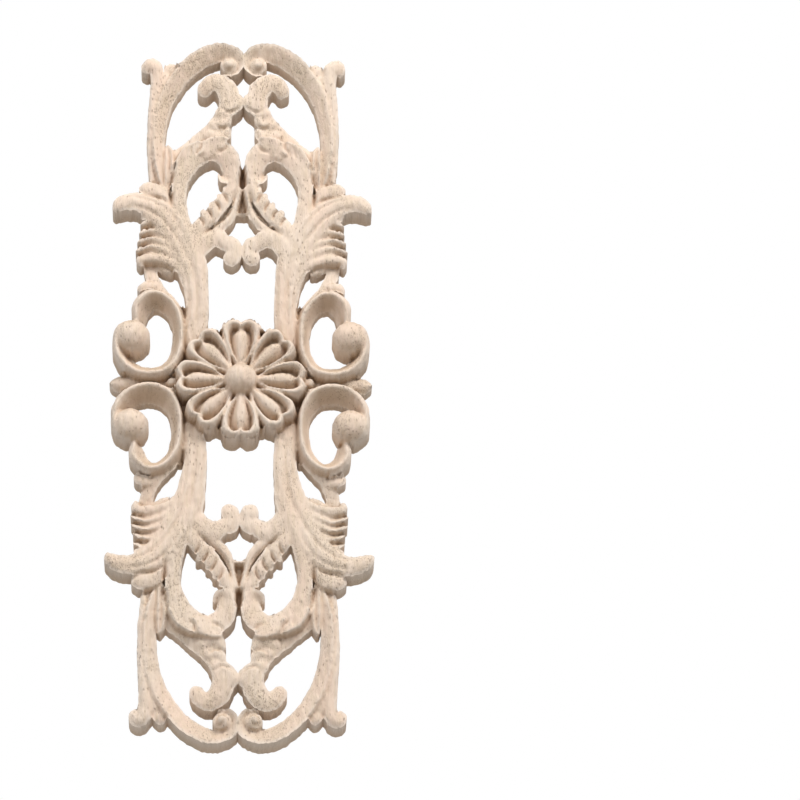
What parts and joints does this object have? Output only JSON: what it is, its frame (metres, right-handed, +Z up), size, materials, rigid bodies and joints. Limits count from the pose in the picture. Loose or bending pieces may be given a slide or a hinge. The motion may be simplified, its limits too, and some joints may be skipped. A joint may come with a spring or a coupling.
{
  "type": "carved wood onlay",
  "caption": "Openwork carved wood onlay with mirrored scrolls, acanthus leaves and a central flower; flat back for fixing to furniture, doors or walls.",
  "frame": {"origin": "centre of the flat back, behind the middle of the flower", "axes": "+Z up along the length, +X to the right as seen from the front, -Y out of the carved face, +Y into the surface it is fixed to"},
  "size_m": [0.1, 0.0164, 0.2942],
  "materials": {
    "wood": "bare pale hardwood, unpainted, slightly fuzzy from the carving tool, with fine dark pores along the length"
  },
  "bodies": {
    "root": {"onlay": "wood"}
  },
  "joints": []
}
